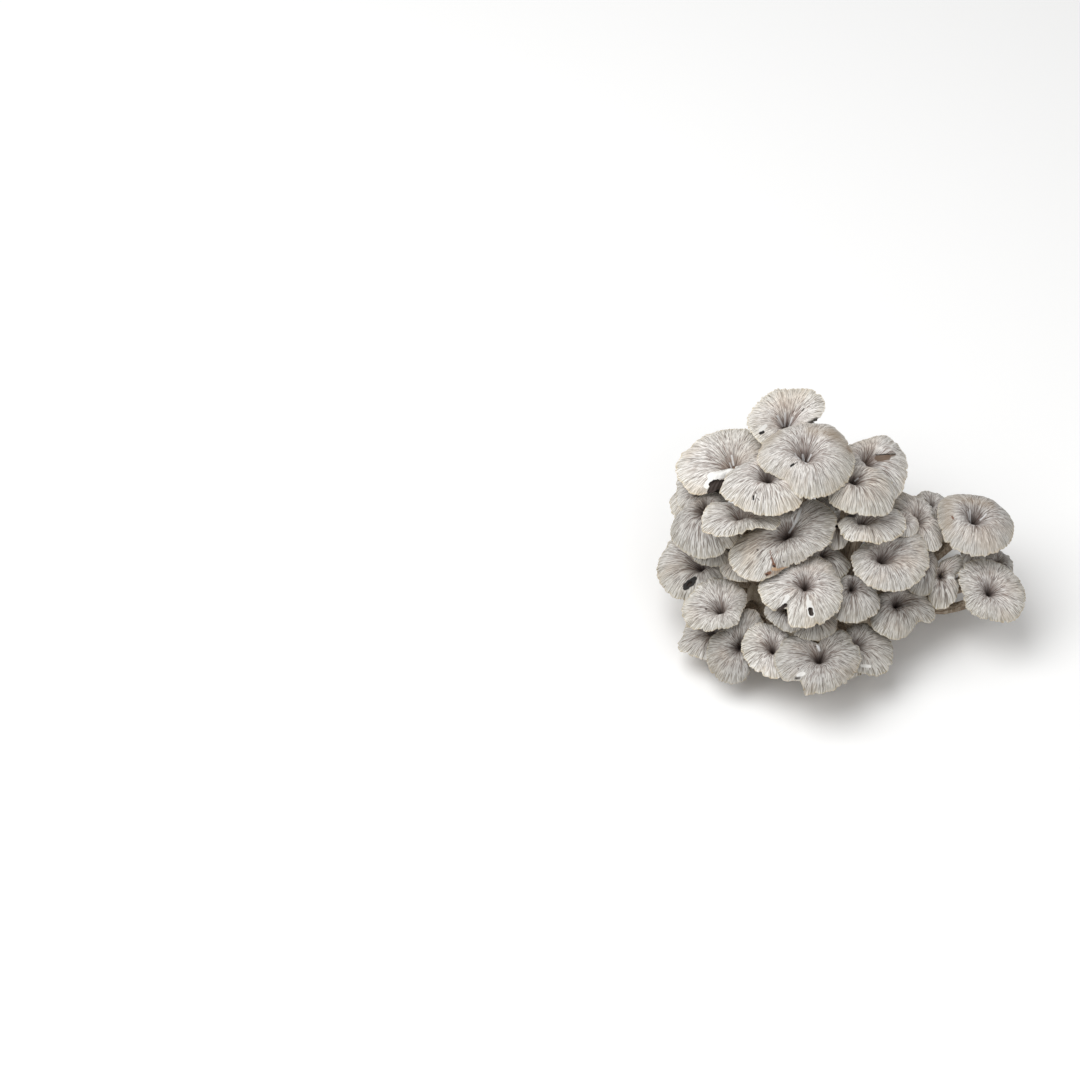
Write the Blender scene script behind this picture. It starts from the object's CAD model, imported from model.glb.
"""An oyster mushroom cluster: funnel-shaped caps with fibrous skin and gills, on slim stems."""

import math
from dataclasses import dataclass

import bmesh
import bpy
import numpy as np
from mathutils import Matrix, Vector


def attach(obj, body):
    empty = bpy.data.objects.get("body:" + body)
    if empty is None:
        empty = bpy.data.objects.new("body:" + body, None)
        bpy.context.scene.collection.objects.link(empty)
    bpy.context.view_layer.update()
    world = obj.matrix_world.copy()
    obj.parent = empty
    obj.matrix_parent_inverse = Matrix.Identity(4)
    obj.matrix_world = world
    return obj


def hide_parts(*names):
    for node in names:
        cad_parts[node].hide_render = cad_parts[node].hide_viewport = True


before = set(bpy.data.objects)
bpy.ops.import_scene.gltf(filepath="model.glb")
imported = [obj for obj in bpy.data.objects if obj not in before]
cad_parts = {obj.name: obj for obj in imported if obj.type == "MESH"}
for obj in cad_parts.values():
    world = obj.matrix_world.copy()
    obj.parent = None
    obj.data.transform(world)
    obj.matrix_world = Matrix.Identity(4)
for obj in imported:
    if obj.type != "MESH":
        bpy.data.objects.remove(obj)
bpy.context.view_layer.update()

bl_info = {
    "name": "Oyster mushroom cluster",
    "version": (1, 0, 0),
    "blender": (4, 5, 0),
    "location": "View3D > Sidebar > Mushrooms",
    "description": "Dresses a cluster of oyster mushrooms: caps, gills, stems, butt and stage",
    "category": "Add Mesh",
}

MM = 0.001

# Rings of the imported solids: the pit and four of skin with their shares of the reach, then two of
# gills and those of the stem.
SKIN_SHARES = (0.0, 0.15, 0.45, 0.78, 1.0)
MARGIN_RING, SLOPE_GILLS, SHOULDER_GILLS, STEM_RINGS = 4, 5, 6, (7, 8, 9, 10)
POLE_EDGES = 8
WELD = 2e-5

# Finer rows: shares of the reach on the skin, then steps along gills and stem from the margin.
SKIN_ROWS = (
    0.0, 0.03, 0.06, 0.085, 0.11, 0.135, 0.16, 0.19, 0.22, 0.26, 0.3, 0.35, 0.4, 0.46, 0.52, 0.59,
    0.66, 0.73, 0.79, 0.85, 0.9, 0.94, 0.97, 0.99, 1.0,
)
UNDER_ROWS = (
    0.0, 0.12, 0.3, 0.55, 0.8, 1.0, 1.3, 1.65, 2.0, 2.25, 2.5, 2.75, 3.0, 3.2, 3.45, 3.7, 4.0, 4.35,
    4.7, 5.0, 5.35, 5.7, 6.0,
)
GILLS_END = 3.2
# The underside's shares of the reach, at steps along it.
UNDER_SHARES = ((0, 1, 2, 3, 6), (1, 0.78, 0.45, 0.2, 0.1))
COLUMNS_PER_GILL = 4
GILL_DEPTH_STEPS = (0.0, 0.3, 1.0, 2.0, 2.6, 3.0, 3.7, 4.2)
GILL_DEPTHS = (0.0, 1.0, 1.9, 3.3, 2.6, 1.2, 0.3, 0.0)
GILL_PROFILE = (1.0, 0.16, 0.0, 0.16)
SHORT_GILLS_FADE = (1.2, 2.0)
GILLS_PER_MM, GILL_COUNTS, GILL_STEP = 2.35, (40, 72), 8
USUAL_REACH = 28.0

FLESH_AT_MARGIN, FLESH_GAIN, FLESH_INSIDE = 0.5, 0.12, 1.3
MARGIN_THICKNESS = 0.55
SEED = 5

# A wave's parts: how much shorter each is and its weight, how far its count strays, and their sum.
WAVE_PARTS, WAVE_STRAY, WAVE_SCALE = ((1.0, 1.0), (1.7, 0.6), (2.6, 0.36)), (0.8, 1.2), 2.6
# Waves of the skin: how many round a cap, their height and the shares of the reach they grow over.
PIT_FLUTES = (5, 0.12)
PLEATS, BROAD_WAVES = (34, 0.3, 0.35, 0.95), (13, 0.6, 0.55, 1.0)
CRIMPS, CRIMP_REACH, CRIMP_EASE = ((22, 0.6), (50, 0.42)), (0.74, 1.0), 1.5
LAP_REACH, ROLL_REACH = (0.12, 0.4), (0.82, 1.0)
# Tears round the margin: how many, how wide in radians and how deep in millimetres.
NICK_COUNTS, NICK_WIDTHS, NICK_DEPTHS = (3, 8), (0.025, 0.06), (0.8, 2.6)
# The stem: how much wider than the solid's each ring is, its flutes and how deep the foot is sunk.
STEM_FLARES, STEM_FLUTES, FOOT_SUNK = (1.08, 1.15, 1.1, 1.35), (7, 0.06), 1.4
# The row of the underside that shows which way its faces look.
FACING_ROW = 4

# The direction the cluster is seen from, and the picture's plane through its base.
LOOK_DOWN = math.radians(48)
FACE_UP = np.array((0.0, math.sin(LOOK_DOWN), math.cos(LOOK_DOWN)))
FACE_OUT = np.array((0.0, -math.cos(LOOK_DOWN), math.sin(LOOK_DOWN)))
FACE_ORIGIN = np.array((0.0, 0.018, 0.0))

# Where the picture's middle lies on the cluster's face, in metres across and up it.
PICTURE_MIDDLE = (-0.2064, 0.0432)
# The lights, each with its share of the key's power, its size and its place, and what they point at.
LIGHTS = (("key light", 1.0, 2.0, (-0.95, -0.1, 1.9)), ("fill light", 0.2, 1.6, (0.9, -1.4, 1.2)))
LIT_PLACE = (0.0, 0.0, 0.06)
FLOOR_HALF_WIDTH, FLOOR_ROUGHNESS = 6.0, 0.9

# Strands in a radian, level by level, their noise's detail and roughness, and each level's seed.
STRAND_LEVELS, STRAND_NOISE, LEVEL_SEED = (3.0, 6.0, 12.0, 24.0, 48.0), (2.0, 0.55), 11.0
# The hairs between strands: how thin they are, how many there are to a strand and their seed.
HAIR_FINENESS, HAIRS_PER_STRAND, HAIR_SEED = 7.0, 1.3, 5.0
# How far strands stray sideways, as a share of the reach, and how often in a metre.
STRAY, STRAY_OFTEN = 0.03, 160.0
# The zones of the skin that have tones of their own, by their shares of the reach.
SKIN_STOPS = {
    "pit": 0.0, "throat": 0.07, "funnel": 0.19, "middle": 0.42, "outer": 0.72, "rim": 0.955, "edge": 1.0,
}
STRAND_CONTRAST, HAIR_CONTRAST, HAIR_REACH = (-0.24, 0.235), (0.28, 0.88), (0.02, 0.34)
# Brown and grey patches: how often in a metre, the noise's detail, where it fades in and how far.
PATCHES, PATCHES_SHOW, PATCHES_IN_STRANDS = (38.0, 3.0), (-0.02, 0.22, 0.5), 0.3
GREYS, GREYS_SHOW = (17.0, 1.0), (-0.08, 0.12, 0.6)
# The skin's relief: strands, hairs and patches, and the bump's strength and depth in metres.
SKIN_RELIEF, SKIN_BUMP = (1.2, 0.35, 0.4), (0.6, 0.0009)
# The gills: their streaks' stretch outwards and count in a radian, and where their tones are given.
STREAK_STRETCH, STREAKS, GILL_STOPS = 2.0, 26.0, (0.1, 0.5, 0.85, 1.0)
STREAKS_SHOW, GILL_ROUGHNESS, GILL_BUMP = (-0.2, 0.2, 0.5), 0.75, (0.3, 0.0004)
# The stems: how fine their fibres are, how often they are blotched, and their relief.
STEM_FIBRES, STEM_DETAIL, STEM_CONTRAST = (900.0, 900.0, 60.0), 3.0, (-0.2, 0.2)
BLOTCHES, BLOTCHES_SHOW = (60.0, 3.0), (0.0, 0.25, 0.5)
STEM_ROUGHNESS, STEM_BUMP = 0.8, (0.4, 0.0006)
# The seeds of one mushroom and the next stand so far apart.
SEED_STEP = 3.7

# The butt: how many waves its knots are made of and how often in a metre, how high its flat sole
# reaches and how far up the knots reach their full height, and the cuts in each edge.
KNOT_WAVES, KNOT_SPREAD = 24, 160.0
BUTT_SOLE, BUTT_SOFT_HEIGHT, BUTT_CUTS = 1e-5, 0.004, 3
# The butt's colours: knots and felt by how often, detail and roughness, and where each shows.
KNOTS, KNOT_CONTRAST, FELT, FELT_SHOW = (90.0, 5.0, 0.6), (-0.15, 0.15), (900.0, 3.0, 0.6), (-0.1, 0.2, 0.4)
FELT_RELIEF, BUTT_ROUGHNESS, BUTT_BUMP = 0.3, 0.85, (0.8, 0.002)


@dataclass
class Mark:
    """A flaw in a cap along a line on the cluster's face, in millimetres across and up it."""

    kind: str
    start: tuple
    end: tuple
    half_width: float


@dataclass
class Fold:
    """A lap in a cap's skin along a line on the cluster's face: it rises on the line's left side
    over `rise` millimetres to `lift`, drops on its right side over `drop`, and fades at its ends."""

    start: tuple
    end: tuple
    lift: float
    rise: float
    drop: float
    fade: float = 4.0


FOLDS = {
    "crown_right_back": Fold((60, 113.4), (80, 113.2), 4.4, 9.0, 1.6),
    "crown_right": Fold((82, 78), (63.4, 99.8), 3.4, 12.0, 1.5, 7.0),
    "side_fold": Fold((128, 14.5), (112, 15.5), 3.0, 8.0, 2.0, 5.0),
    "front_low": Fold((46, -41), (28, -47), 2.8, 7.0, 1.5, 5.0),
    "front_split": Fold((-12, -10), (-2, 4), 2.4, 8.0, 1.4, 5.0),
    "centre_large": Fold((-26, 40), (-48, 28), 2.2, 9.0, 1.8, 6.0),
    "crown_left": Fold((-70, 92), (-50, 98), 2.4, 8.0, 1.4, 5.0),
    "right_lower": Fold((90, -8), (98, -26), 2.4, 9.0, 1.8, 6.0),
    "front_left": Fold((-40, -34), (-42, -66), 2.6, 9.0, 1.8, 6.0),
    "right_large": Fold((48, 20), (44, 4), 1.8, 8.0, 1.6, 6.0),
    "crown_middle": Fold((-40, 84), (-48, 72), 1.6, 8.0, 1.6, 5.0),
    "right_far": Fold((104, 66), (120, 50), 2.0, 8.0, 1.6, 6.0),
}

# Each cap's flaws, in the order they are laid over its skin.
MARKS = {
    "crown_back": (
        Mark("rim", (-30.4, 130.6), (-26, 134.4), 1.5),
        Mark("crack", (-30.4, 128.4), (-28, 129.4), 1.2),
        Mark("white", (-15.6, 142.4), (-11, 135), 0.8),
        Mark("white", (-9.4, 145), (-9.2, 135), 0.7),
        Mark("white", (-3.4, 142), (-5.8, 134.6), 0.6),
        Mark("speck", (4.2, 147), (5.6, 148.6), 0.7),
        Mark("hollow", (10, 136.6), (16, 139.4), 2.2),
    ),
    "crown_left": (
        Mark("white", (-52.5, 111), (-50.8, 103.5), 0.7),
        Mark("white", (-54, 105), (-52.6, 101.6), 0.5),
        Mark("spot", (-49.6, 100.2), (-48.6, 99), 1.5),
        Mark("torn", (-69.3, 94), (-53.9, 97.4), 3.3),
        Mark("torn", (-54, 97.4), (-46.5, 99.6), 1.6),
        Mark("torn", (-48, 101), (-41, 102.6), 1.5),
        Mark("torn", (-73.6, 86.4), (-69.3, 92.6), 2.2),
        Mark("hole", (-66.6, 86.4), (-56, 86.6), 5.0),
        Mark("hole", (-68.6, 81.5), (-58, 78), 4.2),
    ),
    "left_upper": (Mark("hollow", (-68, 84), (-54, 81), 8.0),),
    "crown_front": (
        Mark("white", (2.4, 110.8), (3.6, 104.4), 0.9),
        Mark("white", (-4.2, 112), (-1.8, 107.4), 0.5),
        Mark("white", (9, 111), (6.6, 106), 0.5),
        Mark("crack", (-8.2, 101.6), (-6.2, 103), 0.9),
        Mark("speck", (-5.2, 103.4), (-3.4, 104.6), 0.4),
        Mark("crack", (-15.2, 88.2), (-11.8, 87.4), 1.2),
        Mark("tan", (8, 131), (30, 127), 4.0),
        Mark("tan", (28, 127), (42, 114), 4.6),
        Mark("tan", (-31, 118), (-18, 129), 3.4),
        Mark("brown", (38.5, 116.5), (40.5, 113.5), 1.4),
    ),
    "crown_middle": (
        Mark("crack", (-38, 77.8), (-38, 75.4), 0.85),
        Mark("speck", (-36.6, 81.2), (-35.6, 79.6), 0.35),
        Mark("speck", (-35.2, 76.4), (-33.4, 74.6), 0.35),
    ),
    "crown_right": (Mark("white", (47, 92.4), (44.6, 90.4), 0.5),),
    "left_shoulder": (Mark("hollow", (-73.2, 66.4), (-72.4, 65.6), 1.1),),
    "far_left": (
        Mark("crack", (-88.6, 6.2), (-84.2, 9.6), 2.9),
        Mark("crack", (-84.4, 10.4), (-81.6, 12.4), 1.7),
        Mark("crack", (-90, 4.2), (-88.6, 5), 1.5),
        Mark("hole", (-87.2, 7.2), (-85.2, 8.8), 1.3),
    ),
    "centre_large": (
        Mark("white", (1.4, 68.5), (-2.6, 57.6), 1.1),
        Mark("white", (-2.6, 57.6), (-7.4, 49.2), 0.8),
        Mark("white", (-5.6, 61), (-4.6, 56), 0.5),
        Mark("brown", (-26, 15.8), (-14, 20), 1.9),
        Mark("rust", (-24, 35), (-22.6, 28), 0.3),
        Mark("rust", (-22.6, 28.6), (-21.2, 24), 0.7),
        Mark("rust", (-21.2, 24), (-20.4, 22), 1.3),
        Mark("orange", (-21.6, 20.2), (-19.6, 20), 1.3),
        Mark("rust", (-26.8, 16), (-24.2, 17.2), 1.3),
        Mark("orange", (-18, 19.8), (-11.4, 21.2), 0.7),
        Mark("crack", (-21.4, 22.8), (-20.6, 22.2), 0.6),
        Mark("crack", (-27.2, 15.4), (-26, 15.8), 0.5),
        Mark("speck", (-34, 35.6), (-33.6, 35.2), 0.7),
        Mark("speck", (-13.4, 26.2), (-13, 25.8), 0.6),
    ),
    "front_split": (
        Mark("rim", (5.4, -1), (6.2, -7), 0.9),
        Mark("rim", (6.2, -6), (7.2, -12), 2.0),
        Mark("rim", (7.3, -10.6), (8.2, -15.2), 2.9),
        Mark("hole", (7.2, -11.6), (8, -15), 1.8),
        Mark("rim", (-10.3, -1.6), (-13.2, -7), 1.5),
        Mark("hole", (-12.2, -8.2), (-17.4, -12.6), 1.6),
        Mark("speck", (15.4, 11.8), (15.8, 11.8), 0.5),
    ),
    "left_lower": (Mark("speck", (-73.8, -12), (-73.4, -12), 0.7),),
    "front_low": (
        Mark("rim", (-2.6, -63.6), (1.6, -62), 1.5),
        Mark("hollow", (-4.4, -66), (-1.8, -65.8), 0.9),
        Mark("white", (13.6, -40.6), (15.6, -44.4), 0.9),
        Mark("speck", (-2.6, -58.6), (-2.2, -58.4), 0.5),
        Mark("speck", (12.4, -41.4), (12.8, -41.4), 0.5),
    ),
    "front_right_low": (Mark("rim", (49.6, -56.8), (56, -57.4), 1.2),),
    "crown_right_back": (
        Mark("shadow", (66, 109), (73, 110), 2.7),
        Mark("shadow", (72, 110.6), (79.4, 111.9), 0.9),
        Mark("crack", (64, 111.8), (80, 112.5), 0.35),
    ),
    "right_upper": (
        Mark("hollow", (36.6, 63), (44, 62.6), 1.6),
        Mark("spot", (35.6, 68), (38, 66.6), 1.0),
    ),
    "right_far": (
        Mark("white", (109.6, 73), (113.6, 63.6), 0.7),
        Mark("rim", (110, 66), (119, 62.4), 0.8),
    ),
    "side_fold": (
        Mark("hollow", (128.8, 12), (131, 12.6), 1.2),
        Mark("rim", (122, 12.8), (126, 13), 0.8),
    ),
    "side_crown": (
        Mark("tan", (122, 74), (121, 57), 4.6),
        Mark("tan", (130, 77), (158, 72), 3.0),
        Mark("rust", (124.4, 61.8), (125, 60.6), 0.8),
        Mark("white", (139.8, 67.4), (141, 56.8), 0.6),
        Mark("white", (138, 66), (139.6, 59.6), 0.4),
        Mark("white", (152.6, 64), (148.4, 59.4), 0.5),
    ),
}
# Each flaw's colour, how much of it shows and how soft its outline is in millimetres.
MARK_COLOURS = {
    "white": ((0.8, 0.8, 0.8), 0.85, 0.35),
    "torn": ((0.94, 0.93, 0.9), 1.0, 0.3),
    "rim": ((0.78, 0.765, 0.735), 1.0, 0.35),
    "brown": ((0.22, 0.13, 0.07), 0.6, 1.6),
    "tan": ((0.33, 0.25, 0.165), 0.42, 4.0),
    "spot": ((0.3, 0.15, 0.065), 0.72, 0.8),
    "rust": ((0.15, 0.055, 0.022), 0.9, 0.5),
    "orange": ((0.52, 0.34, 0.2), 0.85, 0.5),
    "shadow": ((0.15, 0.1, 0.066), 0.95, 0.6),
    "crack": ((0.009, 0.007, 0.006), 1.0, 0.4),
    "speck": ((0.05, 0.036, 0.028), 0.85, 0.3),
    "hollow": ((0.02, 0.014, 0.011), 0.94, 1.0),
}
# A flaw's ragged outline: its share of the width, its least in millimetres, and its noise.
RAGGEDNESS, RAGGED_LEAST, RAGGED_NOISE = 0.55, 0.4, (420.0, 3.0, 0.6)
# How far past a hole's rim, in millimetres, the gills beneath darken and where they stop.
HOLE_SHADE = (1.0, 2.5)
# How much paler or darker some caps are than the rest.
TONES = {
    "crown_left": 1.08, "crown_back": 1.12, "crown_front": 0.98, "crown_right": 0.9, "crown_right_back": 0.96,
    "left_upper": 0.9, "left_shoulder": 0.77, "left_foot": 0.83, "left_under": 0.8, "left_tucked": 0.8,
    "far_left": 0.8, "centre_large": 0.93, "centre_behind": 0.55, "front_left": 0.67, "front_tucked": 0.78,
    "front_low": 0.73, "front_right_low": 0.76, "front_under": 0.82, "right_front": 0.78, "right_lower": 0.76,
    "right_large": 0.9, "right_hanging": 0.78, "side_crown": 0.84, "side_back": 0.88, "side_fold": 0.93,
    "side_under": 0.7, "side_front": 0.9, "side_between": 0.68, "left_lower": 0.94,
}


def spaced(share, low, high):
    """An eased step from 0 at low to 1 at high."""
    share = np.clip((share - low) / (high - low), 0.0, 1.0)
    return share * share * (3 - 2 * share)


def face_place(points):
    """Where points lie on the cluster's face, in millimetres across and up it."""
    return np.stack((points[..., 0], (points - FACE_ORIGIN) @ FACE_UP), axis=-1) / MM


def eased_knots(knots, values, wanted):
    """A smooth curve through values at uneven knots, read at the wanted places."""
    knots, values = np.asarray(knots, float), np.asarray(values, float)
    steps = np.diff(knots)
    slopes = np.diff(values, axis=0) / steps.reshape(-1, *(1,) * (values.ndim - 1))
    tangents = np.empty_like(values)
    tangents[0], tangents[-1] = slopes[0], slopes[-1]
    before, after = steps[:-1], steps[1:]
    weight = (after / (before + after)).reshape(-1, *(1,) * (values.ndim - 1))
    tangents[1:-1] = slopes[:-1] * weight + slopes[1:] * (1 - weight)
    left = np.clip(np.searchsorted(knots, wanted, side="right") - 1, 0, len(steps) - 1)
    span = steps[left]
    t = (np.asarray(wanted) - knots[left]) / span
    shape = (-1, *(1,) * (values.ndim - 1))
    t, span = t.reshape(shape), span.reshape(shape)
    return (
        (2 * t**3 - 3 * t**2 + 1) * values[left]
        + (t**3 - 2 * t**2 + t) * span * tangents[left]
        + (-2 * t**3 + 3 * t**2) * values[left + 1]
        + (t**3 - t**2) * span * tangents[left + 1]
    )


def round_curve(points, columns):
    """A smooth closed curve through points spaced evenly round, as an even count of columns."""
    count = len(points)
    padded = np.concatenate((points[-2:], points, points[:3]))
    return eased_knots(np.arange(-2, count + 3), padded, np.arange(columns) * count / columns)


def round_noise(random, columns, cycles):
    """A random curve round a cap with about so many waves, between about -1 and 1."""
    angles = np.arange(columns) * math.tau / columns
    total = np.zeros(columns)
    for spread, weight in WAVE_PARTS:
        turns = max(1, round(cycles * spread * random.uniform(*WAVE_STRAY)))
        for side in (0, 1):
            total += weight * np.cos((turns + side * 2) * angles + random.uniform(0, math.tau))
    return total / WAVE_SCALE


class Net:
    """A mushroom's rings of points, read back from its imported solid, spoke by spoke."""

    def __init__(self, node):
        shape = bmesh.new()
        shape.from_mesh(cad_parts[node].data)
        bmesh.ops.remove_doubles(shape, verts=shape.verts, dist=WELD)
        poles = [v for v in shape.verts if len(v.link_edges) > POLE_EDGES]
        layers = self.layers_from(max(poles, key=lambda v: v.co.z))
        first_ring = np.array([v.co for v in layers[1]])
        middle = first_ring.mean(axis=0)
        self.axis = np.linalg.svd(first_ring - middle)[2][2]
        self.axis = self.axis * math.copysign(1, self.axis[2])
        self.first = np.array((1.0, 0.0, 0.0)) - self.axis * self.axis[0]
        self.first /= np.linalg.norm(self.first)
        self.second = np.cross(self.axis, self.first)
        rings = [layers[0], self.round_about(layers[1], np.array(layers[0][0].co))]
        rings.append(self.beyond_thinned(rings[1], layers[2]))
        rings.append(self.beyond(rings[2], layers[3], before=True))
        rings.append(self.beyond(rings[3], layers[4], before=True))
        rings.append(self.beyond(rings[4], layers[5], before=False))
        rings.append(self.beyond(rings[5], layers[6], before=False))
        self.rings = [np.array([v.co for v in ring]) for ring in rings]
        self.sides = len(rings[MARGIN_RING])
        self.stem = [np.array([v.co for v in layers[ring]]) for ring in STEM_RINGS]
        shape.free()

    @staticmethod
    def layers_from(pole):
        """Vertices in layers, by how many edges they are from the pole."""
        seen, layers, layer = {pole}, [], [pole]
        while layer:
            layers.append(layer)
            around = [edge.other_vert(v) for v in layer for edge in v.link_edges]
            layer = [v for v in dict.fromkeys(around) if v not in seen]
            seen.update(layer)
        return layers

    def round_about(self, ring, middle):
        """A ring's vertices in order round the axis, from the one nearest to the right."""

        def turn(v):
            out = np.array(v.co) - middle
            return math.atan2(out @ self.second, out @ self.first)

        ring = sorted(ring, key=lambda v: turn(v) % math.tau)
        start = min(range(len(ring)), key=lambda k: abs(turn(ring[k])))
        return ring[start:] + ring[:start]

    @staticmethod
    def neighbours(v, ring):
        return {edge.other_vert(v) for edge in v.link_edges} & ring

    def beyond_thinned(self, inner, outer):
        """The next ring out where it has twice as many spokes as the ring inside it."""
        outer, ordered = set(outer), []
        for k, v in enumerate(inner):
            own, last, after = (
                self.neighbours(u, outer) for u in (v, inner[k - 1], inner[(k + 1) % len(inner)])
            )
            ordered += [(own & last).pop(), (own - last - after).pop()]
        return ordered

    def beyond(self, ring, outer, before):
        """The next ring of as many spokes: each vertex joins its own spoke's and one beside it."""
        outer, ordered = set(outer), []
        step = -1 if before else 1
        for k, v in enumerate(ring):
            beside = ring[(k + step) % len(ring)]
            ordered.append((self.neighbours(v, outer) & self.neighbours(beside, outer)).pop())
        return ordered


class Surface:
    """The fine grid of a mushroom: rows from the pit over the margin and down to the foot."""

    def __init__(self, name, settings, random):
        self.name = name
        self.settings = settings
        self.net = net = Net(name)
        margin, pit = net.rings[MARGIN_RING], net.rings[0][0]
        self.reach = np.linalg.norm(margin - pit, axis=1).mean() / MM
        self.bulk = math.sqrt(self.reach / USUAL_REACH)
        gills = int(np.clip(GILLS_PER_MM * self.reach, *GILL_COUNTS)) // GILL_STEP * GILL_STEP
        self.columns = gills * COLUMNS_PER_GILL
        self.angles = np.arange(self.columns) * math.tau / self.columns
        self.random = random
        skin = self.skin_grid()
        under = self.under_grid(skin)
        self.points = np.concatenate((skin, under))
        self.shares = np.concatenate((SKIN_ROWS, np.interp(UNDER_ROWS, *UNDER_SHARES)))

    def waves(self, count, height, *reach, shares=None):
        """Random waves round the cap, which grow over a part of the reach where one is given."""
        waves = round_noise(self.random, self.columns, count) * height
        return waves * spaced(shares, *reach) if reach else waves

    def skin_grid(self):
        """The skin's rows: the solid's curve with a sunk pit, pleats, waves and a frayed margin."""
        net, columns = self.net, self.columns
        half = columns // 2
        rings = [np.repeat(net.rings[0], columns, axis=0)]
        rings += [round_curve(net.rings[ring], columns) for ring in range(1, MARGIN_RING + 1)]
        opposite = np.roll(rings[1], half, axis=0)
        knots = (-SKIN_SHARES[1],) + SKIN_SHARES
        grid = eased_knots(knots, np.array([opposite] + rings), SKIN_ROWS)
        shares = np.array(SKIN_ROWS)[:, None]
        settings = self.settings
        pit = min(settings.pit_share * self.reach, settings.pit_widest)
        flutes = 1 + self.waves(*PIT_FLUTES)
        inwards = np.clip(1 - shares * self.reach / (pit * flutes), 0, 1)
        sunk = settings.pit_depth * pit * inwards**settings.pit_steepening
        pleats = self.waves(*PLEATS, shares=shares)
        broad = self.waves(*BROAD_WAVES, shares=shares)
        rolled = settings.margin_drop * self.bulk * spaced(shares, *ROLL_REACH) ** 2
        grid = grid + ((pleats + broad - sunk - rolled) * MM)[..., None] * net.axis
        grid = grid + (self.laps(grid) * spaced(shares, *LAP_REACH) * MM)[..., None] * net.axis
        out = rings[-1] - rings[-2]
        out /= np.linalg.norm(out, axis=1)[:, None]
        crimp = sum(self.waves(*wave) for wave in CRIMPS) - self.nicks()
        frayed = crimp * self.bulk * MM * spaced(shares, *CRIMP_REACH) ** CRIMP_EASE
        grid = grid + frayed[..., None] * out
        grid[0] = grid[0].mean(axis=0)
        return grid

    def laps(self, grid):
        """How high a cap's lap raises each point of its skin, in millimetres."""
        if self.name not in FOLDS:
            return np.zeros(grid.shape[:2])
        fold = FOLDS[self.name]
        from_start = face_place(grid) - fold.start
        run = np.subtract(fold.end, fold.start)
        length = math.hypot(*run)
        along = from_start @ (run / length)
        left = from_start @ (np.array((-run[1], run[0])) / length)
        height = np.where(left > 0, 1 - spaced(left, 0, fold.rise), 1 - spaced(-left, 0, fold.drop))
        ends = spaced(along, -fold.fade, fold.fade) * spaced(length - along, -fold.fade, fold.fade)
        return fold.lift * height * ends

    def nicks(self):
        """Small V-shaped tears round the margin, by depth at each column."""
        depth = np.zeros(self.columns)
        for _ in range(int(self.random.integers(*NICK_COUNTS))):
            turn = self.random.uniform(0, math.tau)
            apart = np.abs((self.angles - turn + math.pi) % math.tau - math.pi)
            width = self.random.uniform(*NICK_WIDTHS)
            nick = self.random.uniform(*NICK_DEPTHS) * np.clip(1 - apart / width, 0, 1)
            depth = np.maximum(depth, nick)
        return depth

    def circle(self, ring):
        """A stem ring as a true circle: its middle, radius, direction at each column and normal."""
        points = self.net.stem[ring]
        middle = points.mean(axis=0)
        radius = np.linalg.norm(points - middle, axis=1).mean()
        normal = np.linalg.svd(points - middle)[2][2]
        normal *= math.copysign(1, normal @ self.net.axis)
        first = self.net.first - normal * (self.net.first @ normal)
        first /= np.linalg.norm(first)
        second = np.cross(normal, first)
        turned = np.outer(np.cos(self.angles), first) + np.outer(np.sin(self.angles), second)
        return middle, radius, turned, normal

    def gill_edges(self, ring, skin_ring):
        """The level of the gills' edges below a ring of the skin, as lowered points."""
        net = self.net
        drop = (net.rings[skin_ring] - net.rings[ring]) @ net.axis
        even = drop[::2]
        full = np.empty_like(drop)
        full[::2] = even
        full[1::2] = 0.5 * (even + np.roll(even, -1))
        return net.rings[skin_ring] - full[:, None] * net.axis

    def under_grid(self, skin):
        """The underside's rows: gills under the cap, then the stem down to its foot."""
        net, columns = self.net, self.columns
        margin = skin[-1] - net.axis * MARGIN_THICKNESS * self.bulk * MM
        slope = round_curve(self.gill_edges(SLOPE_GILLS, 3), columns)
        shoulder = round_curve(self.gill_edges(SHOULDER_GILLS, 2), columns)
        rings = [margin, slope, shoulder]
        flutes = self.waves(*STEM_FLUTES)
        for ring, flare in enumerate(STEM_FLARES):
            middle, radius, turned, normal = self.circle(ring)
            if ring == len(STEM_FLARES) - 1:
                middle = middle - normal * (FOOT_SUNK * MM)
            rings.append(middle + radius * flare * (1 + flutes[:, None]) * turned)
        steps = np.array(UNDER_ROWS)
        grid = eased_knots(np.arange(len(rings)), np.array(rings), steps)
        along = np.gradient(grid, axis=0)
        around = np.roll(grid, -1, axis=1) - np.roll(grid, 1, axis=1)
        normals = np.cross(around, along)
        normals /= np.maximum(np.linalg.norm(normals, axis=2), 1e-12)[..., None]
        facing = np.sign((normals[FACING_ROW] @ -net.axis).mean())
        depth = np.interp(steps, GILL_DEPTH_STEPS, GILL_DEPTHS)[:, None] * self.bulk * MM
        depth *= self.settings.gill_depth
        between = 1 - np.tile(GILL_PROFILE, columns // COLUMNS_PER_GILL)
        fade = spaced(steps, *SHORT_GILLS_FADE)[:, None]
        short = (np.arange(columns) // COLUMNS_PER_GILL) % 2 == 1
        raised = between + (1 - between) * fade * short
        return self.below_skin(grid - normals * facing * (depth * raised)[..., None], skin)

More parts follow.
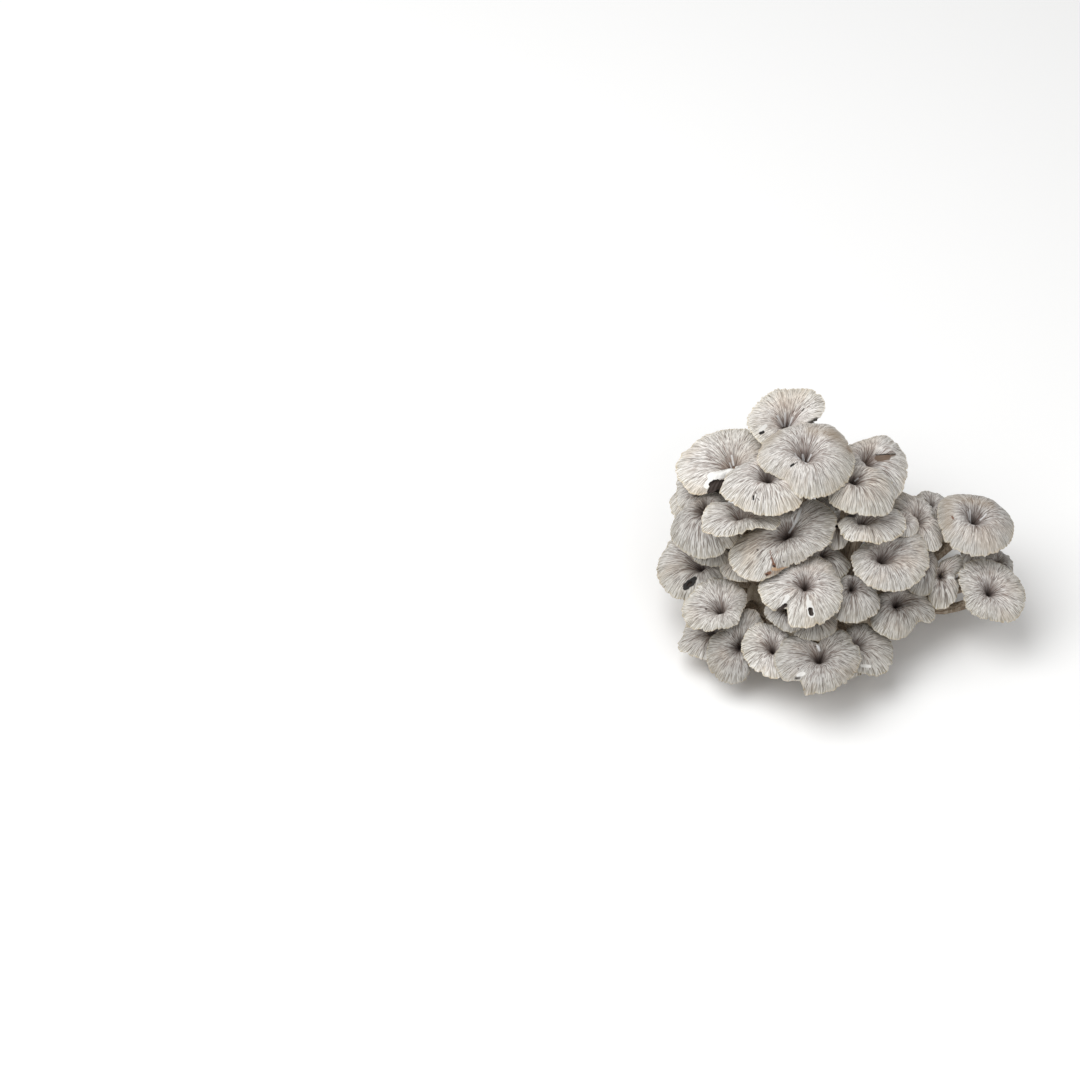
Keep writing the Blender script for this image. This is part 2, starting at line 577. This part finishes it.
    def below_skin(self, grid, skin):
        """Lowers whatever of the underside would come through the skin over it."""
        net = self.net
        middle = net.rings[0][0]
        across, along = (skin - middle) @ net.first, (skin - middle) @ net.second
        skin_far, skin_height = np.hypot(across, along), (skin - middle) @ net.axis
        across, along, height = ((grid - middle) @ way for way in (net.first, net.second, net.axis))
        far = np.hypot(across, along)
        turn = np.arctan2(along, across) % math.tau
        skin_turn = np.unwrap(np.arctan2(*((skin[-1] - middle) @ way for way in (net.second, net.first))))
        skin_turn = np.maximum.accumulate(skin_turn)
        column = np.interp(
            (turn - skin_turn[0]) % math.tau, skin_turn - skin_turn[0], np.arange(self.columns)
        ).round().astype(int)
        row = np.clip((skin_far[:, column] <= far).sum(axis=0), 1, len(skin) - 1)
        near_far, next_far = skin_far[row - 1, column], skin_far[row, column]
        share = np.clip((far - near_far) / np.maximum(next_far - near_far, 1e-9), 0, 1)
        over = skin_height[row - 1, column] * (1 - share) + skin_height[row, column] * share
        from_margin = np.clip((skin_far[-1, column] - far) / MM, 0, None)
        flesh = np.minimum(FLESH_AT_MARGIN + FLESH_GAIN * from_margin, FLESH_INSIDE) * self.bulk * MM
        return grid - np.maximum(height - (over - flesh), 0)[..., None] * net.axis

    def build(self, name, materials):
        """Spins a profile of as many rows, and moves its vertices onto the grid."""
        rows = len(self.points)
        if self.columns not in turned_forms:
            turned_forms[self.columns] = spun_mesh("turned form", rows, self.columns)
        mesh = turned_forms[self.columns].copy()
        mesh.name = name
        count = len(mesh.vertices)
        places = np.empty(count * 3, np.float32)
        mesh.vertices.foreach_get("co", places)
        places = places.reshape(-1, 3)
        row = np.clip(np.rint(-places[:, 2]).astype(int), 0, rows)
        turn = np.arctan2(places[:, 1], places[:, 0]) % math.tau
        column = np.rint(turn * self.columns / math.tau).astype(int) % self.columns
        end = self.points[-1].mean(axis=0)
        grid = np.concatenate((self.points, np.repeat(end[None, None], self.columns, axis=1)))
        points = grid[row, column]
        mesh.vertices.foreach_set("co", points.astype(np.float32).ravel())
        shares = np.append(self.shares, 0.0)[row]
        polar = 0.5 + 0.5 * shares[:, None] * np.stack((np.cos(turn), np.sin(turn)), axis=1)
        corners = np.empty(len(mesh.loops), np.int32)
        mesh.loops.foreach_get("vertex_index", corners)
        uv = mesh.uv_layers.new(name="polar")
        uv.data.foreach_set("uv", polar[corners].astype(np.float32).ravel())
        starts = np.empty(len(mesh.polygons), np.int32)
        mesh.polygons.foreach_get("loop_start", starts)
        sizes = np.empty(len(mesh.polygons), np.int32)
        mesh.polygons.foreach_get("loop_total", sizes)
        lowest = np.maximum.reduceat(row[corners], starts)
        skin_end = len(SKIN_ROWS) - 1
        gills_end = len(SKIN_ROWS) + sum(step <= GILLS_END for step in UNDER_ROWS) - 1
        index = np.where(lowest <= skin_end + 1, 0, np.where(lowest <= gills_end, 1, 2))
        mesh.polygons.foreach_set("material_index", index.astype(np.int32))
        for material in materials:
            mesh.materials.append(material)
        mesh.shade_smooth()
        mesh.update()
        return mesh, points


turned_forms = {}


def spun_mesh(name, rows, columns):
    """A closed form turned from a bare profile of rows, whose heights number them."""
    shape = bmesh.new()
    profile = [
        shape.verts.new((0.0 if row in (0, rows) else 1.0, 0.0, -float(row))) for row in range(rows + 1)
    ]
    edges = [shape.edges.new(pair) for pair in zip(profile, profile[1:])]
    bmesh.ops.spin(
        shape, geom=profile + edges, cent=(0, 0, 0), axis=(0, 0, 1), angle=math.tau,
        steps=columns, use_merge=True,
    )
    bmesh.ops.remove_doubles(shape, verts=shape.verts, dist=1e-4)
    bmesh.ops.recalc_face_normals(shape, faces=shape.faces)
    mesh = bpy.data.meshes.new(name)
    shape.to_mesh(mesh)
    shape.free()
    return mesh


class Amount:
    """A value that varies over a surface. Sums on it add Math nodes to its material."""

    def __init__(self, finish, socket):
        self.finish = finish
        self.socket = socket

    def maths(self, operation, *others):
        return self.finish.node("ShaderNodeMath", {"operation": operation}, self, *others)

    def __add__(self, other):
        return self.maths("ADD", other)

    def __radd__(self, other):
        return self + other

    def __sub__(self, other):
        return self.maths("SUBTRACT", other)

    def __rsub__(self, other):
        return self.finish.node("ShaderNodeMath", {"operation": "SUBTRACT"}, other, self)

    def __mul__(self, other):
        return self.maths("MULTIPLY", other)

    def __rmul__(self, other):
        return self * other

    def __truediv__(self, other):
        return self.maths("DIVIDE", other)

    def __rtruediv__(self, other):
        return self.finish.node("ShaderNodeMath", {"operation": "DIVIDE"}, other, self)

    def within(self, low, high):
        """The amount, kept between two numbers."""
        return self.finish.node("ShaderNodeClamp", {}, self, low, high)

    def step(self, low, high):
        """Eases from 0 at low to 1 at high."""
        settings = {"interpolation_type": "SMOOTHSTEP"}
        return self.finish.node("ShaderNodeMapRange", settings, self, low, high, 0.0, 1.0)

    def shown(self, low, high, strength):
        """Eases from 0 at low to a strength at high."""
        return self.step(low, high) * strength


class Finish:
    """A material under construction, with one method that adds any node."""

    def __init__(self, name, roughness, colour=None):
        self.material = bpy.data.materials.new(name)
        self.material.use_nodes = True
        self.tree = self.material.node_tree
        self.shader = self.tree.nodes["Principled BSDF"]
        self.shader.inputs["Roughness"].default_value = roughness
        if colour is not None:
            self.shader.inputs["Base Color"].default_value = (*colour, 1.0)

    def node(self, kind, settings, *values, output=0, **named):
        """Adds a node with its settings, then fills its sockets by place or by identifier."""
        node = self.tree.nodes.new(kind)
        for setting, value in settings.items():
            if setting == "stops":
                self.set_stops(node.color_ramp, value)
            else:
                setattr(node, setting, value)
        sockets = {socket.identifier: socket for socket in node.inputs}
        filled = [*zip(node.inputs, values), *((sockets[key], value) for key, value in named.items())]
        for socket, value in filled:
            if isinstance(value, Amount):
                self.tree.links.new(value.socket, socket)
            else:
                socket.default_value = (*value, 1.0) if socket.type == "RGBA" else value
        return Amount(self, node.outputs[output])

    @staticmethod
    def set_stops(ramp, stops):
        while len(ramp.elements) < len(stops):
            ramp.elements.new(0.5)
        for element, (place, colour) in zip(ramp.elements, stops):
            element.position = place
            element.color = (*colour, 1.0)

    def vector(self, operation, *values, output=0):
        return self.node("ShaderNodeVectorMath", {"operation": operation}, *values, output=output)

    def length(self, vector):
        return self.vector("LENGTH", vector, output=1)

    def dot(self, first, second):
        return self.vector("DOT_PRODUCT", first, second, output=1)

    def joined(self, x, y, z):
        return self.node("ShaderNodeCombineXYZ", {}, x, y, z)

    def mixed(self, factor, first, second, blend="MIX"):
        """One colour over another by a factor."""
        settings = {"data_type": "RGBA", "blend_type": blend}
        return self.node(
            "ShaderNodeMix", settings, output=2, Factor_Float=factor, A_Color=first, B_Color=second
        )

    def ramp(self, amount, stops):
        """A colour by how far along its stops an amount is."""
        return self.node("ShaderNodeValToRGB", {"stops": stops}, amount)

    def noise(self, place, scale, detail=2.0, roughness=0.5):
        """Noise between about -0.5 and 0.5."""
        return self.node(
            "ShaderNodeTexNoise", {}, Vector=place, Scale=scale, Detail=detail, Roughness=roughness
        ) - 0.5

    def object_place(self):
        return self.node("ShaderNodeTexCoord", {}, output=3)

    def attribute(self, name):
        return self.node("ShaderNodeAttribute", {"attribute_name": name}, output=2)

    def feed(self, socket, amount):
        self.tree.links.new(amount.socket, self.shader.inputs[socket])

    def bump(self, height, strength, distance):
        raised = self.node("ShaderNodeBump", {}, Strength=strength, Distance=distance, Height=height)
        self.feed("Normal", raised)


def polar_place(finish):
    """How far out on the cap a point is, and its direction there with the strands' stray."""
    uv = finish.node("ShaderNodeUVMap", {"uv_map": "polar"})
    spread = finish.vector("MULTIPLY_ADD", uv, (2.0, 2.0, 0.0), (-1.0, -1.0, 0.0))
    astray = finish.node(
        "ShaderNodeTexNoise", {}, output=1, Vector=finish.object_place(), Scale=STRAY_OFTEN, Detail=1.0
    )
    astray = finish.vector("MULTIPLY_ADD", astray, (STRAY, STRAY, 0.0), (-STRAY / 2, -STRAY / 2, 0.0))
    return finish.length(spread), finish.vector("NORMALIZE", finish.vector("ADD", spread, astray))


def strand_noise(finish, direction, along, around, seed):
    """Noise drawn out from the pit to the margin, with so many strands in a radian."""
    lengthwise = finish.joined(0.0, 0.0, along + seed)
    place = finish.vector("MULTIPLY_ADD", direction, (around, around, 0.0), lengthwise)
    return finish.noise(place, 1.0, *STRAND_NOISE)


def fibres(finish, skin, direction, far, seed):
    """Strands and fine hairs that stay as wide however far out they run, from several noises."""
    octave = (far / (STRAND_LEVELS[0] * skin.strand_width)).maths("LOGARITHM", 2.0)
    octave = octave.within(0.0, len(STRAND_LEVELS) - 1.0)
    strands, hairs, squares = 0.0, 0.0, 0.0
    for level, around in enumerate(STRAND_LEVELS):
        weight = (1.0 - (octave - level).maths("ABSOLUTE")).maths("MAXIMUM", 0.0)
        level_seed = seed + LEVEL_SEED * level
        strand = strand_noise(finish, direction, far / skin.strand_length, around, level_seed)
        hair = strand_noise(
            finish, direction, far / skin.hair_length, around * HAIRS_PER_STRAND, level_seed + HAIR_SEED
        )
        strands = weight * strand + strands
        hairs = weight * (1.0 - hair.maths("ABSOLUTE") * HAIR_FINENESS).maths("MAXIMUM", 0.0) + hairs
        squares = weight * weight + squares
    return strands / squares.maths("SQRT"), hairs


def mark_distance(finish, mark):
    """How many millimetres a point is outside a flaw, whose outline is ragged."""
    place = finish.object_place()
    from_base = finish.vector("SUBTRACT", place, tuple(FACE_ORIGIN))
    across = finish.dot(from_base, (1.0 / MM, 0.0, 0.0))
    up = finish.dot(from_base, tuple(FACE_UP / MM))
    start, run = np.array((*mark.start, 0.0)), np.array((*np.subtract(mark.end, mark.start), 0.0))
    from_start = finish.vector("SUBTRACT", finish.joined(across, up, 0.0), tuple(start))
    share = finish.dot(from_start, tuple(run / (run @ run))).within(0.0, 1.0)
    spine = finish.vector("MULTIPLY", finish.joined(share, share, share), tuple(run))
    apart = finish.length(finish.vector("SUBTRACT", from_start, spine))
    ragged = finish.noise(place, *RAGGED_NOISE)
    return apart - mark.half_width + ragged * (RAGGEDNESS * mark.half_width + RAGGED_LEAST)


def mark_skin(finish, colour, marks):
    """Lays a cap's flaws over a colour: torn white flesh, brown bruises and dark specks."""
    for mark in marks:
        if mark.kind in MARK_COLOURS:
            tint, strength, softness = MARK_COLOURS[mark.kind]
            near = 1.0 - mark_distance(finish, mark).step(-softness, softness)
            colour = finish.mixed(near * strength, colour, tint)
    return colour


def open_holes(finish, marks):
    """Cuts the holes among a mushroom's flaws out of a surface."""
    distances = [mark_distance(finish, mark) for mark in marks if mark.kind == "hole"]
    if distances:
        nearest = distances[0]
        for distance in distances[1:]:
            nearest = nearest.maths("MINIMUM", distance)
        finish.feed("Alpha", nearest.maths("GREATER_THAN", 0.0))


def skin_finish(skin, name="cap skin", marks=()):
    """Cap skin: pale fibres over mauve-brown, darker to the pit, with a cream margin."""
    finish = Finish(name, skin.roughness)
    out, direction = polar_place(finish)
    reach, seed = finish.attribute("reach"), finish.attribute("seed")
    strands, hairs = fibres(finish, skin, direction, out * reach, seed)
    place = finish.object_place()
    patches = finish.noise(place, *PATCHES)
    dark_tone, pale_tone = (
        finish.ramp(out, [(stop, getattr(skin, f"{shade}_{zone}")) for zone, stop in SKIN_STOPS.items()])
        for shade in ("dark", "pale")
    )
    pale_share = (strands + patches * PATCHES_IN_STRANDS).step(*STRAND_CONTRAST)
    colour = finish.mixed(pale_share, dark_tone, pale_tone)
    shine = hairs.step(*HAIR_CONTRAST) * out.step(*HAIR_REACH)
    colour = finish.mixed(shine * skin.hair_strength, colour, skin.hair)
    greys = finish.noise(place, *GREYS).shown(*GREYS_SHOW)
    colour = finish.mixed(greys, colour, skin.cool_patches, "MULTIPLY")
    colour = finish.mixed(patches.shown(*PATCHES_SHOW), colour, skin.warm_patches, "MULTIPLY")
    tone = finish.attribute("tone")
    colour = finish.mixed(1.0, colour, finish.joined(tone, tone, tone), "MULTIPLY")
    finish.feed("Base Color", mark_skin(finish, colour, marks))
    of_strands, of_hairs, of_patches = SKIN_RELIEF
    finish.bump(strands * of_strands + hairs * of_hairs + patches * of_patches, *SKIN_BUMP)
    open_holes(finish, marks)
    return finish.material


def gill_finish(gills):
    """Gills: buff, paler to the margin, and dark brown beneath a hole in the skin."""
    finish = Finish("gills", GILL_ROUGHNESS)
    out, direction = polar_place(finish)
    seed = finish.attribute("seed")
    streaks = strand_noise(finish, direction, out * STREAK_STRETCH, STREAKS, seed)
    tones = (gills.inner, gills.middle, gills.outer, gills.rim)
    tone = finish.ramp(out, tuple(zip(GILL_STOPS, tones)))
    colour = finish.mixed(streaks.shown(*STREAKS_SHOW), tone, gills.streaks)
    finish.feed("Base Color", finish.mixed(finish.attribute("shade"), colour, gills.hollow))
    finish.bump(streaks, *GILL_BUMP)
    return finish.material


def stem_finish(stem):
    """Stems: buff flesh with fine upright fibres."""
    finish = Finish("stem flesh", STEM_ROUGHNESS)
    place = finish.object_place()
    fibres = finish.noise(finish.vector("MULTIPLY", place, STEM_FIBRES), 1.0, STEM_DETAIL)
    blotches = finish.noise(place, *BLOTCHES)
    colour = finish.mixed(fibres.step(*STEM_CONTRAST), stem.dark, stem.pale)
    colour = finish.mixed(blotches.shown(*BLOTCHES_SHOW), colour, stem.blotches)
    finish.feed("Base Color", colour)
    finish.bump(fibres, *STEM_BUMP)
    return finish.material


def butt_finish(butt):
    """The butt: knotted off-white flesh with buff hollows."""
    finish = Finish("butt flesh", BUTT_ROUGHNESS)
    place = finish.object_place()
    knots, felt = finish.noise(place, *KNOTS), finish.noise(place, *FELT)
    colour = finish.mixed(knots.step(*KNOT_CONTRAST), butt.hollows, butt.knots)
    finish.feed("Base Color", finish.mixed(felt.shown(*FELT_SHOW), colour, butt.felt))
    finish.bump(knots + felt * FELT_RELIEF, *BUTT_BUMP)
    return finish.material


def add_piece(name, mesh, node):
    piece = bpy.data.objects.new(name, mesh)
    bpy.context.scene.collection.objects.link(piece)
    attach(piece, "root")
    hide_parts(node)


def write_facts(mesh, points, marks, seed, reach, tone):
    """Stores on every vertex the mushroom's seed, reach and tone, and how near it is to a hole."""
    place = face_place(points)
    shade = np.zeros(len(points))
    for mark in (mark for mark in marks if mark.kind == "hole"):
        start, run = np.array(mark.start), np.array(mark.end) - np.array(mark.start)
        share = np.clip((place - start) @ run / (run @ run), 0, 1)
        apart = np.linalg.norm(place - start - share[:, None] * run, axis=1)
        shade = np.maximum(shade, 1 - spaced(apart - mark.half_width, *HOLE_SHADE))
    for fact, values in (("seed", seed), ("reach", reach), ("tone", tone), ("shade", shade)):
        layer = mesh.attributes.new(fact, "FLOAT", "POINT")
        layer.data.foreach_set("value", np.broadcast_to(values, len(points)).astype(np.float32))


def colour_setting(name, description, default):
    return bpy.props.FloatVectorProperty(
        name=name, description=description, subtype="COLOR", min=0.0, max=1.0, default=default
    )


def share_setting(name, description, default):
    return bpy.props.FloatProperty(
        name=name, description=description, subtype="FACTOR", min=0.0, max=1.0, default=default
    )


def size_setting(name, description, default):
    return bpy.props.FloatProperty(name=name, description=description, min=0.01, default=default)


class SkinSettings(bpy.types.PropertyGroup):
    """Colours and fibres of the cap skin."""

    dark_pit: colour_setting("Pit, dark", "Dark strands at the bottom of the pit", (0.028, 0.017, 0.013))
    dark_throat: colour_setting("Throat, dark", "Dark strands in the pit's sides", (0.055, 0.036, 0.03))
    dark_funnel: colour_setting("Funnel, dark", "Dark strands round the pit", (0.11, 0.079, 0.067))
    dark_middle: colour_setting("Middle, dark", "Dark strands half way out", (0.148, 0.114, 0.099))
    dark_outer: colour_setting("Outer, dark", "Dark strands further out", (0.165, 0.139, 0.121))
    dark_rim: colour_setting("Rim, dark", "Dark strands near the margin", (0.225, 0.196, 0.158))
    dark_edge: colour_setting("Edge, dark", "Dark strands at the margin", (0.38, 0.3, 0.18))
    pale_pit: colour_setting("Pit, pale", "Pale strands at the bottom of the pit", (0.05, 0.033, 0.027))
    pale_throat: colour_setting("Throat, pale", "Pale strands in the pit's sides", (0.138, 0.098, 0.085))
    pale_funnel: colour_setting("Funnel, pale", "Pale strands round the pit", (0.296, 0.227, 0.2))
    pale_middle: colour_setting("Middle, pale", "Pale strands half way out", (0.409, 0.344, 0.31))
    pale_outer: colour_setting("Outer, pale", "Pale strands further out", (0.583, 0.531, 0.484))
    pale_rim: colour_setting("Rim, pale", "Pale strands near the margin", (0.592, 0.55, 0.478))
    pale_edge: colour_setting("Edge, pale", "Pale strands at the margin", (0.68, 0.59, 0.42))
    hair: colour_setting("Hairs", "The fine hairs over the skin", (0.94, 0.92, 0.885))
    cool_patches: colour_setting("Cool patches", "What the grey patches darken to", (0.86, 0.855, 0.82))
    warm_patches: colour_setting("Warm patches", "What the brown patches darken to", (0.86, 0.76, 0.66))
    hair_strength: share_setting("Hair strength", "How much the hairs show", 0.78)
    roughness: share_setting("Roughness", "How matte the skin is", 0.72)
    strand_width: size_setting("Strand width", "Width of a strand, in millimetres", 0.8)
    strand_length: size_setting("Strand length", "Length of a strand, in millimetres", 13.0)
    hair_length: size_setting("Hair length", "Length of a fine hair, in millimetres", 9.0)


class GillSettings(bpy.types.PropertyGroup):
    """Colours of the gills."""

    inner: colour_setting("Inner", "Gills by the stem", (0.33, 0.25, 0.17))
    middle: colour_setting("Middle", "Gills half way out", (0.36, 0.28, 0.19))
    outer: colour_setting("Outer", "Gills further out", (0.42, 0.34, 0.24))
    rim: colour_setting("Rim", "Gills at the margin", (0.56, 0.48, 0.35))
    streaks: colour_setting("Streaks", "Pale streaks along the gills", (0.52, 0.44, 0.32))
    hollow: colour_setting("Hollow", "What shows inside a hole in the skin", (0.051, 0.036, 0.03))


class StemSettings(bpy.types.PropertyGroup):
    """Colours of the stems."""

    dark: colour_setting("Dark fibres", "Dark fibres of the stems", (0.22, 0.162, 0.113))
    pale: colour_setting("Pale fibres", "Pale fibres of the stems", (0.44, 0.37, 0.285))
    blotches: colour_setting("Blotches", "Brown blotches on the stems", (0.17, 0.12, 0.083))


class ButtSettings(bpy.types.PropertyGroup):
    """Colours and knots of the butt."""

    hollows: colour_setting("Hollows", "Hollows between the knots", (0.2, 0.145, 0.095))
    knots: colour_setting("Knots", "Knots of the butt", (0.5, 0.43, 0.33))
    felt: colour_setting("Felt", "Pale felt over the butt", (0.62, 0.57, 0.47))
    knot_height: size_setting("Knot height", "How high the knots stand, in millimetres", 1.5)


class ShapeSettings(bpy.types.PropertyGroup):
    """Sizes of what the fine surface adds to the solid mushrooms."""

    pit_share: share_setting("Pit width", "Brim of the pit as a share of the cap's reach", 0.42)
    pit_widest: size_setting("Widest pit", "Widest brim of a pit, in millimetres", 12.0)
    pit_depth: size_setting("Pit depth", "Depth of the pit, in brims", 0.8)
    pit_steepening: size_setting("Pit steepening", "How much the pit steepens to its middle", 2.7)
    margin_drop: size_setting("Margin drop", "How far the margin rolls down, in millimetres", 0.9)
    gill_depth: share_setting("Gill depth", "Depth of the gills as a share of their full depth", 1.0)


class StageSettings(bpy.types.PropertyGroup):
    """Sizes and colours of the floor, lights and camera."""

    floor_colour: colour_setting("Floor", "Colour of the floor", (0.95, 0.95, 0.945))
    lens: bpy.props.FloatProperty(
        name="Lens", description="Focal length of the camera in millimetres", default=120.0
    )
    face_depth: bpy.props.FloatProperty(
        name="Face depth", description="How far the caps stand before the base, along the view",
        subtype="DISTANCE", default=0.085,
    )
    picture_width: bpy.props.FloatProperty(
        name="Picture width", description="Width of what the camera sees at the caps",
        subtype="DISTANCE", default=0.864,
    )
    key_power: bpy.props.FloatProperty(
        name="Key light", description="Power of the main light", subtype="POWER", default=41.0
    )
    world_strength: bpy.props.FloatProperty(
        name="Surroundings", description="Strength of the even light from all round", default=0.42
    )


def aim(item, place, target):
    item.location = place
    item.rotation_euler = (Vector(target) - Vector(place)).to_track_quat("-Z", "Y").to_euler()


class MUSHROOM_OT_stage(bpy.types.Operator):
    """Adds the floor, the lights and the camera"""

    bl_idname = "mushroom.stage"
    bl_label = "Stage"

    def execute(self, context):
        scene = context.scene
        settings = scene.mushroom_stage
        self.add_floor(scene, settings)
        for name, share, size, place in LIGHTS:
            light = bpy.data.objects.new(name, bpy.data.lights.new(name, "AREA"))
            light.data.energy = settings.key_power * share
            light.data.size = size
            scene.collection.objects.link(light)
            aim(light, place, LIT_PLACE)
        scene.world = bpy.data.worlds.new("white surroundings")
        scene.world.use_nodes = True
        background = scene.world.node_tree.nodes["Background"]
        background.inputs["Color"].default_value = (1.0, 1.0, 1.0, 1.0)
        background.inputs["Strength"].default_value = settings.world_strength
        scene.view_settings.view_transform = "Standard"
        self.add_camera(scene, settings)
        return {"FINISHED"}

    def add_floor(self, scene, settings):
        shape = bmesh.new()
        bmesh.ops.create_grid(shape, x_segments=1, y_segments=1, size=FLOOR_HALF_WIDTH)
        mesh = bpy.data.meshes.new("floor")
        shape.to_mesh(mesh)
        shape.free()
        finish = Finish("pale floor", FLOOR_ROUGHNESS, settings.floor_colour)
        mesh.materials.append(finish.material)
        floor = bpy.data.objects.new("floor", mesh)
        scene.collection.objects.link(floor)

    def add_camera(self, scene, settings):
        camera = bpy.data.objects.new("camera", bpy.data.cameras.new("camera"))
        scene.collection.objects.link(camera)
        camera.data.lens = settings.lens
        far = settings.picture_width * settings.lens / camera.data.sensor_width
        across, up = PICTURE_MIDDLE
        middle = FACE_ORIGIN + across * np.array((1.0, 0.0, 0.0)) + up * FACE_UP
        target = middle + settings.face_depth * FACE_OUT
        aim(camera, target + far * FACE_OUT, target)
        scene.camera = camera


made_finishes = {}


def shared_finishes(scene):
    """The materials that many mushrooms share, made once."""
    if not made_finishes:
        made_finishes["skin"] = skin_finish(scene.mushroom_skin)
        made_finishes["gills"] = gill_finish(scene.mushroom_gills)
        made_finishes["stem"] = stem_finish(scene.mushroom_stem)
    return made_finishes


def build_mushrooms(scene, prefixes):
    """Builds the mushrooms whose names start with one of the words given."""
    finishes = shared_finishes(scene)
    ordered = sorted(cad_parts)
    names = [name for name in ordered if name.startswith(prefixes)]
    if not names:
        raise RuntimeError(f"no mushroom's name starts with {prefixes}")
    for name in names:
        order = ordered.index(name)
        surface = Surface(name, scene.mushroom_shape, np.random.default_rng((SEED, order)))
        marks = MARKS.get(name, ())
        skin = skin_finish(scene.mushroom_skin, f"{name} skin", marks) if marks else finishes["skin"]
        mesh, points = surface.build(name, (skin, finishes["gills"], finishes["stem"]))
        write_facts(mesh, points, marks, SEED_STEP * order, surface.reach, TONES.get(name, 1.0))
        add_piece(f"{name}_mushroom", mesh, name)
    return {"FINISHED"}


class MUSHROOM_OT_crown(bpy.types.Operator):
    """Builds the mushrooms at the top of the cluster"""

    bl_idname = "mushroom.crown"
    bl_label = "Crown"

    def execute(self, context):
        return build_mushrooms(context.scene, ("crown",))


class MUSHROOM_OT_left(bpy.types.Operator):
    """Builds the mushrooms on the left side"""

    bl_idname = "mushroom.left"
    bl_label = "Left side"

    def execute(self, context):
        return build_mushrooms(context.scene, ("left", "far"))


class MUSHROOM_OT_centre(bpy.types.Operator):
    """Builds the mushrooms in the middle"""

    bl_idname = "mushroom.centre"
    bl_label = "Centre"

    def execute(self, context):
        return build_mushrooms(context.scene, ("centre",))


class MUSHROOM_OT_front(bpy.types.Operator):
    """Builds the mushrooms along the front"""

    bl_idname = "mushroom.front"
    bl_label = "Front"

    def execute(self, context):
        return build_mushrooms(context.scene, ("front",))


class MUSHROOM_OT_right(bpy.types.Operator):
    """Builds the mushrooms on the right side"""

    bl_idname = "mushroom.right"
    bl_label = "Right side"

    def execute(self, context):
        return build_mushrooms(context.scene, ("right",))


class MUSHROOM_OT_side(bpy.types.Operator):
    """Builds the group that leans out at the far right"""

    bl_idname = "mushroom.side"
    bl_label = "Side group"

    def execute(self, context):
        return build_mushrooms(context.scene, ("side",))


class MUSHROOM_OT_rear(bpy.types.Operator):
    """Builds the mushrooms at the back"""

    bl_idname = "mushroom.rear"
    bl_label = "Rear"

    def execute(self, context):
        return build_mushrooms(context.scene, ("rear",))


class MUSHROOM_OT_butt(bpy.types.Operator):
    """Builds the butt that the stems grow out of"""

    bl_idname = "mushroom.butt"
    bl_label = "Butt"

    def execute(self, context):
        settings = context.scene.mushroom_butt
        shape = bmesh.new()
        shape.from_mesh(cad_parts["butt"].data)
        bmesh.ops.remove_doubles(shape, verts=shape.verts, dist=WELD)
        bmesh.ops.subdivide_edges(shape, edges=shape.edges, cuts=BUTT_CUTS, use_grid_fill=True)
        shape.normal_update()
        random = np.random.default_rng(SEED)
        lobes = random.normal(size=(KNOT_WAVES, 3)) * KNOT_SPREAD
        phases = random.uniform(0, math.tau, KNOT_WAVES)
        for vertex in shape.verts:
            if vertex.co.z > BUTT_SOLE:
                knot = np.sin(lobes @ np.array(vertex.co) + phases).mean()
                raised = knot * settings.knot_height * MM * min(1.0, vertex.co.z / BUTT_SOFT_HEIGHT)
                vertex.co += vertex.normal * raised
        mesh = bpy.data.meshes.new("butt")
        shape.to_mesh(mesh)
        shape.free()
        mesh.materials.append(butt_finish(settings))
        mesh.shade_smooth()
        add_piece("cut_butt", mesh, "butt")
        return {"FINISHED"}


class MUSHROOM_PT_sidebar(bpy.types.Panel):
    """Lists the cluster's pieces in the sidebar"""

    bl_label = "Oyster mushrooms"
    bl_idname = "MUSHROOM_PT_sidebar"
    bl_space_type = "VIEW_3D"
    bl_region_type = "UI"
    bl_category = "Mushrooms"

    def draw(self, context):
        for operator in OPERATORS:
            self.layout.operator(operator.bl_idname)
        for name in SETTINGS:
            settings = getattr(context.scene, name)
            for setting in settings.bl_rna.properties:
                if not setting.is_readonly and setting.identifier != "name":
                    self.layout.prop(settings, setting.identifier)


OPERATORS = (
    MUSHROOM_OT_stage, MUSHROOM_OT_butt, MUSHROOM_OT_crown, MUSHROOM_OT_left, MUSHROOM_OT_centre,
    MUSHROOM_OT_front, MUSHROOM_OT_right, MUSHROOM_OT_side, MUSHROOM_OT_rear,
)
SETTINGS = {
    "mushroom_skin": SkinSettings,
    "mushroom_gills": GillSettings,
    "mushroom_stem": StemSettings,
    "mushroom_butt": ButtSettings,
    "mushroom_shape": ShapeSettings,
    "mushroom_stage": StageSettings,
}


def register():
    for cls in (*SETTINGS.values(), *OPERATORS, MUSHROOM_PT_sidebar):
        bpy.utils.register_class(cls)
    for name, cls in SETTINGS.items():
        setattr(bpy.types.Scene, name, bpy.props.PointerProperty(type=cls))


def unregister():
    for name in SETTINGS:
        delattr(bpy.types.Scene, name)
    for cls in (MUSHROOM_PT_sidebar, *reversed(OPERATORS), *SETTINGS.values()):
        bpy.utils.unregister_class(cls)


def main():
    register()
    bpy.ops.mushroom.stage()
    bpy.ops.mushroom.butt()
    bpy.ops.mushroom.crown()
    bpy.ops.mushroom.left()
    bpy.ops.mushroom.centre()
    bpy.ops.mushroom.front()
    bpy.ops.mushroom.right()
    bpy.ops.mushroom.side()
    bpy.ops.mushroom.rear()


if __name__ == "__main__":
    main()
